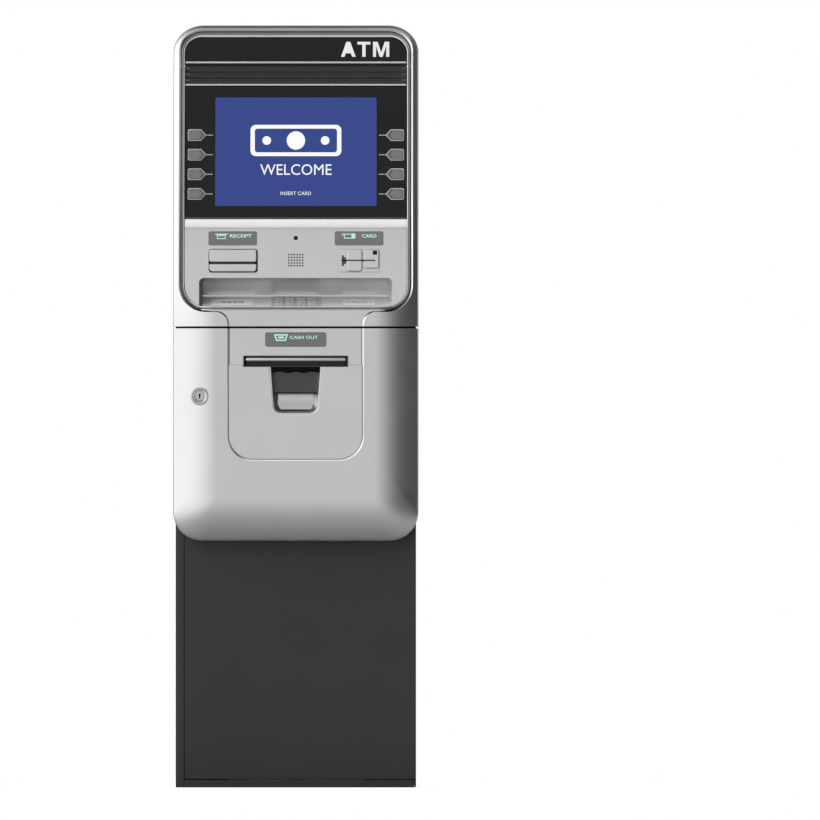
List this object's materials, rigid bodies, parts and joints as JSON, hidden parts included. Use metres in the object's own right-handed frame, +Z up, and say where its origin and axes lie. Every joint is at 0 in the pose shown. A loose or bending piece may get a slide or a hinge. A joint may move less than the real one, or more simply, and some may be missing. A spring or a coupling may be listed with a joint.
{
  "type": "automated teller machine",
  "caption": "Free-standing cash machine with a charcoal vault cabinet, silver tilting fascia, screen, keypad, card and receipt slots and a hinged cash-outlet bezel.",
  "frame": {"origin": "on the floor, in the middle of the overall width and depth", "axes": "+Z up, -Y the front that the customer faces, +X the customer's right"},
  "size_m": [0.453, 0.3866, 1.41],
  "materials": {
    "silver_moulding": "silver metallic paint over a moulding",
    "charcoal_coat": "fine-textured charcoal powder coat",
    "gloss_black": "polished black",
    "screen_glass": "lit display behind glossy glass",
    "bare_steel": "satin stainless",
    "zinc_plate": "bright zinc-plated sheet",
    "dark_plastic": "moulded, fine grain",
    "rubber": "matt black",
    "paper": "uncoated thermal roll",
    "smoked_lens": "smoked grey lens with a pale pictogram",
    "grey_key": "satin mid-grey"
  },
  "bodies": {
    "cabinet": {"cabinet_shell": "charcoal_coat", "base_plate": "charcoal_coat", "top_panel": "charcoal_coat", "vault_ceiling": "charcoal_coat", "fascia_hinge_bracket": "zinc_plate", "vault_hinge_rod": "bare_steel", "cash_dispenser": "zinc_plate", "control_unit": "zinc_plate", "cable_grommet": "rubber"},
    "cash_cassette": {"cash_cassette": "dark_plastic"},
    "vault_door": {"vault_door": "charcoal_coat", "bezel_hinge_upper": "bare_steel", "bezel_hinge_lower": "bare_steel"},
    "vault_handle": {"vault_handle": "bare_steel"},
    "combination_dial": {"combination_dial": "bare_steel"},
    "bolt_bar": {"bolt_bar": "bare_steel"},
    "lower_bezel": {"lower_bezel": "silver_moulding", "cash_panel": "silver_moulding", "cash_slot_frame": "gloss_black", "finger_well": "silver_moulding", "cash_label": "smoked_lens", "bezel_lock_ring": "bare_steel"},
    "bezel_lock": {"bezel_lock_cylinder": "bare_steel"},
    "fascia": {"fascia_shell": "silver_moulding", "header_panel": "gloss_black", "display_trim": "silver_moulding", "display_bezel": "gloss_black", "lcd_monitor": "screen_glass", "service_panel": "silver_moulding", "receipt_bezel": "silver_moulding", "receipt_printer": "dark_plastic", "card_reader": "silver_moulding", "tray_shelf": "silver_moulding", "keypad_housing": "bare_steel"},
    "paper_roll": {"paper_roll": "paper"},
    "top_lock": {"top_lock_cylinder": "bare_steel"},
    "function_key_left_1": {"function_key_left_1": "grey_key"},
    "function_key_left_2": {"function_key_left_2": "grey_key"},
    "function_key_left_3": {"function_key_left_3": "grey_key"},
    "function_key_left_4": {"function_key_left_4": "grey_key"},
    "function_key_right_1": {"function_key_right_1": "grey_key"},
    "function_key_right_2": {"function_key_right_2": "grey_key"},
    "function_key_right_3": {"function_key_right_3": "grey_key"},
    "function_key_right_4": {"function_key_right_4": "grey_key"},
    "pin_key_01": {"pin_key_01": "bare_steel"},
    "pin_key_02": {"pin_key_02": "bare_steel"},
    "pin_key_03": {"pin_key_03": "bare_steel"},
    "pin_key_04": {"pin_key_04": "bare_steel"},
    "pin_key_05": {"pin_key_05": "bare_steel"},
    "pin_key_06": {"pin_key_06": "bare_steel"},
    "pin_key_07": {"pin_key_07": "bare_steel"},
    "pin_key_08": {"pin_key_08": "bare_steel"},
    "pin_key_09": {"pin_key_09": "bare_steel"},
    "pin_key_10": {"pin_key_10": "bare_steel"},
    "pin_key_11": {"pin_key_11": "bare_steel"},
    "pin_key_12": {"pin_key_12": "bare_steel"},
    "pin_key_13": {"pin_key_13": "bare_steel"},
    "pin_key_14": {"pin_key_14": "bare_steel"},
    "pin_key_15": {"pin_key_15": "bare_steel"},
    "pin_key_16": {"pin_key_16": "bare_steel"}
  },
  "joints": [
    {"name": "vault_hinge", "type": "hinge", "parent": "cabinet", "child": "vault_door", "pos_m": [0.2185, -0.099, 0.4], "axis": [0, 0, 1], "range_deg": [0, 100]},
    {"name": "bezel_hinge", "type": "hinge", "parent": "vault_door", "child": "lower_bezel", "pos_m": [0.2242, -0.1258, 0.65], "axis": [0, 0, 1], "range_deg": [0, 90]},
    {"name": "fascia_tilt", "type": "hinge", "parent": "cabinet", "child": "fascia", "pos_m": [0, -0.187, 0.856], "axis": [1, 0, 0], "range_deg": [0, 50]},
    {"name": "cassette_slide", "type": "slide", "parent": "cabinet", "child": "cash_cassette", "axis": [0, -1, 0], "range_m": [0, 0.02]},
    {"name": "handle_turn", "type": "hinge", "parent": "vault_door", "child": "vault_handle", "pos_m": [0.062, -0.1226, 0.56], "axis": [0, -1, 0], "range_deg": [0, 90]},
    {"name": "dial_turn", "type": "hinge", "parent": "vault_door", "child": "combination_dial", "pos_m": [-0.062, -0.1226, 0.56], "axis": [0, -1, 0], "continuous": true},
    {"name": "bolt_slide", "type": "slide", "parent": "vault_door", "child": "bolt_bar", "axis": [-1, 0, 0], "range_m": [0, 0.013]},
    {"name": "bezel_lock_turn", "type": "hinge", "parent": "lower_bezel", "child": "bezel_lock", "pos_m": [-0.1774, -0.17, 0.723], "axis": [0, -1, 0], "range_deg": [0, 90]},
    {"name": "paper_roll_turn", "type": "hinge", "parent": "fascia", "child": "paper_roll", "pos_m": [-0.117, -0.066, 1.018], "axis": [1, 0, 0], "continuous": true},
    {"name": "top_lock_turn", "type": "hinge", "parent": "cabinet", "child": "top_lock", "pos_m": [0, 0.122, 1.333], "axis": [0, 0, 1], "range_deg": [0, 90]},
    {"name": "function_key_left_1_press", "type": "slide", "parent": "fascia", "child": "function_key_left_1", "axis": [0, 0.922, -0.3872], "range_m": [0, 0.0015], "stiffness_N_per_m": 400, "springref_m": -0.001},
    {"name": "function_key_left_2_press", "type": "slide", "parent": "fascia", "child": "function_key_left_2", "axis": [0, 0.922, -0.3872], "range_m": [0, 0.0015], "stiffness_N_per_m": 400, "springref_m": -0.001},
    {"name": "function_key_left_3_press", "type": "slide", "parent": "fascia", "child": "function_key_left_3", "axis": [0, 0.922, -0.3872], "range_m": [0, 0.0015], "stiffness_N_per_m": 400, "springref_m": -0.001},
    {"name": "function_key_left_4_press", "type": "slide", "parent": "fascia", "child": "function_key_left_4", "axis": [0, 0.922, -0.3872], "range_m": [0, 0.0015], "stiffness_N_per_m": 400, "springref_m": -0.001},
    {"name": "function_key_right_1_press", "type": "slide", "parent": "fascia", "child": "function_key_right_1", "axis": [0, 0.922, -0.3872], "range_m": [0, 0.0015], "stiffness_N_per_m": 400, "springref_m": -0.001},
    {"name": "function_key_right_2_press", "type": "slide", "parent": "fascia", "child": "function_key_right_2", "axis": [0, 0.922, -0.3872], "range_m": [0, 0.0015], "stiffness_N_per_m": 400, "springref_m": -0.001},
    {"name": "function_key_right_3_press", "type": "slide", "parent": "fascia", "child": "function_key_right_3", "axis": [0, 0.922, -0.3872], "range_m": [0, 0.0015], "stiffness_N_per_m": 400, "springref_m": -0.001},
    {"name": "function_key_right_4_press", "type": "slide", "parent": "fascia", "child": "function_key_right_4", "axis": [0, 0.922, -0.3872], "range_m": [0, 0.0015], "stiffness_N_per_m": 400, "springref_m": -0.001},
    {"name": "pin_key_01_press", "type": "slide", "parent": "fascia", "child": "pin_key_01", "axis": [0, 0.2454, -0.9694], "range_m": [0, 0.002], "stiffness_N_per_m": 500, "springref_m": -0.001},
    {"name": "pin_key_02_press", "type": "slide", "parent": "fascia", "child": "pin_key_02", "axis": [0, 0.2454, -0.9694], "range_m": [0, 0.002], "stiffness_N_per_m": 500, "springref_m": -0.001},
    {"name": "pin_key_03_press", "type": "slide", "parent": "fascia", "child": "pin_key_03", "axis": [0, 0.2454, -0.9694], "range_m": [0, 0.002], "stiffness_N_per_m": 500, "springref_m": -0.001},
    {"name": "pin_key_04_press", "type": "slide", "parent": "fascia", "child": "pin_key_04", "axis": [0, 0.2454, -0.9694], "range_m": [0, 0.002], "stiffness_N_per_m": 500, "springref_m": -0.001},
    {"name": "pin_key_05_press", "type": "slide", "parent": "fascia", "child": "pin_key_05", "axis": [0, 0.2454, -0.9694], "range_m": [0, 0.002], "stiffness_N_per_m": 500, "springref_m": -0.001},
    {"name": "pin_key_06_press", "type": "slide", "parent": "fascia", "child": "pin_key_06", "axis": [0, 0.2454, -0.9694], "range_m": [0, 0.002], "stiffness_N_per_m": 500, "springref_m": -0.001},
    {"name": "pin_key_07_press", "type": "slide", "parent": "fascia", "child": "pin_key_07", "axis": [0, 0.2454, -0.9694], "range_m": [0, 0.002], "stiffness_N_per_m": 500, "springref_m": -0.001},
    {"name": "pin_key_08_press", "type": "slide", "parent": "fascia", "child": "pin_key_08", "axis": [0, 0.2454, -0.9694], "range_m": [0, 0.002], "stiffness_N_per_m": 500, "springref_m": -0.001},
    {"name": "pin_key_09_press", "type": "slide", "parent": "fascia", "child": "pin_key_09", "axis": [0, 0.2454, -0.9694], "range_m": [0, 0.002], "stiffness_N_per_m": 500, "springref_m": -0.001},
    {"name": "pin_key_10_press", "type": "slide", "parent": "fascia", "child": "pin_key_10", "axis": [0, 0.2454, -0.9694], "range_m": [0, 0.002], "stiffness_N_per_m": 500, "springref_m": -0.001},
    {"name": "pin_key_11_press", "type": "slide", "parent": "fascia", "child": "pin_key_11", "axis": [0, 0.2454, -0.9694], "range_m": [0, 0.002], "stiffness_N_per_m": 500, "springref_m": -0.001},
    {"name": "pin_key_12_press", "type": "slide", "parent": "fascia", "child": "pin_key_12", "axis": [0, 0.2454, -0.9694], "range_m": [0, 0.002], "stiffness_N_per_m": 500, "springref_m": -0.001},
    {"name": "pin_key_13_press", "type": "slide", "parent": "fascia", "child": "pin_key_13", "axis": [0, 0.2454, -0.9694], "range_m": [0, 0.002], "stiffness_N_per_m": 500, "springref_m": -0.001},
    {"name": "pin_key_14_press", "type": "slide", "parent": "fascia", "child": "pin_key_14", "axis": [0, 0.2454, -0.9694], "range_m": [0, 0.002], "stiffness_N_per_m": 500, "springref_m": -0.001},
    {"name": "pin_key_15_press", "type": "slide", "parent": "fascia", "child": "pin_key_15", "axis": [0, 0.2454, -0.9694], "range_m": [0, 0.002], "stiffness_N_per_m": 500, "springref_m": -0.001},
    {"name": "pin_key_16_press", "type": "slide", "parent": "fascia", "child": "pin_key_16", "axis": [0, 0.2454, -0.9694], "range_m": [0, 0.002], "stiffness_N_per_m": 500, "springref_m": -0.001}
  ],
  "couplings": [
    {"joint": "bolt_slide", "follows": "handle_turn", "m_per_rad": 0.0082}
  ]
}
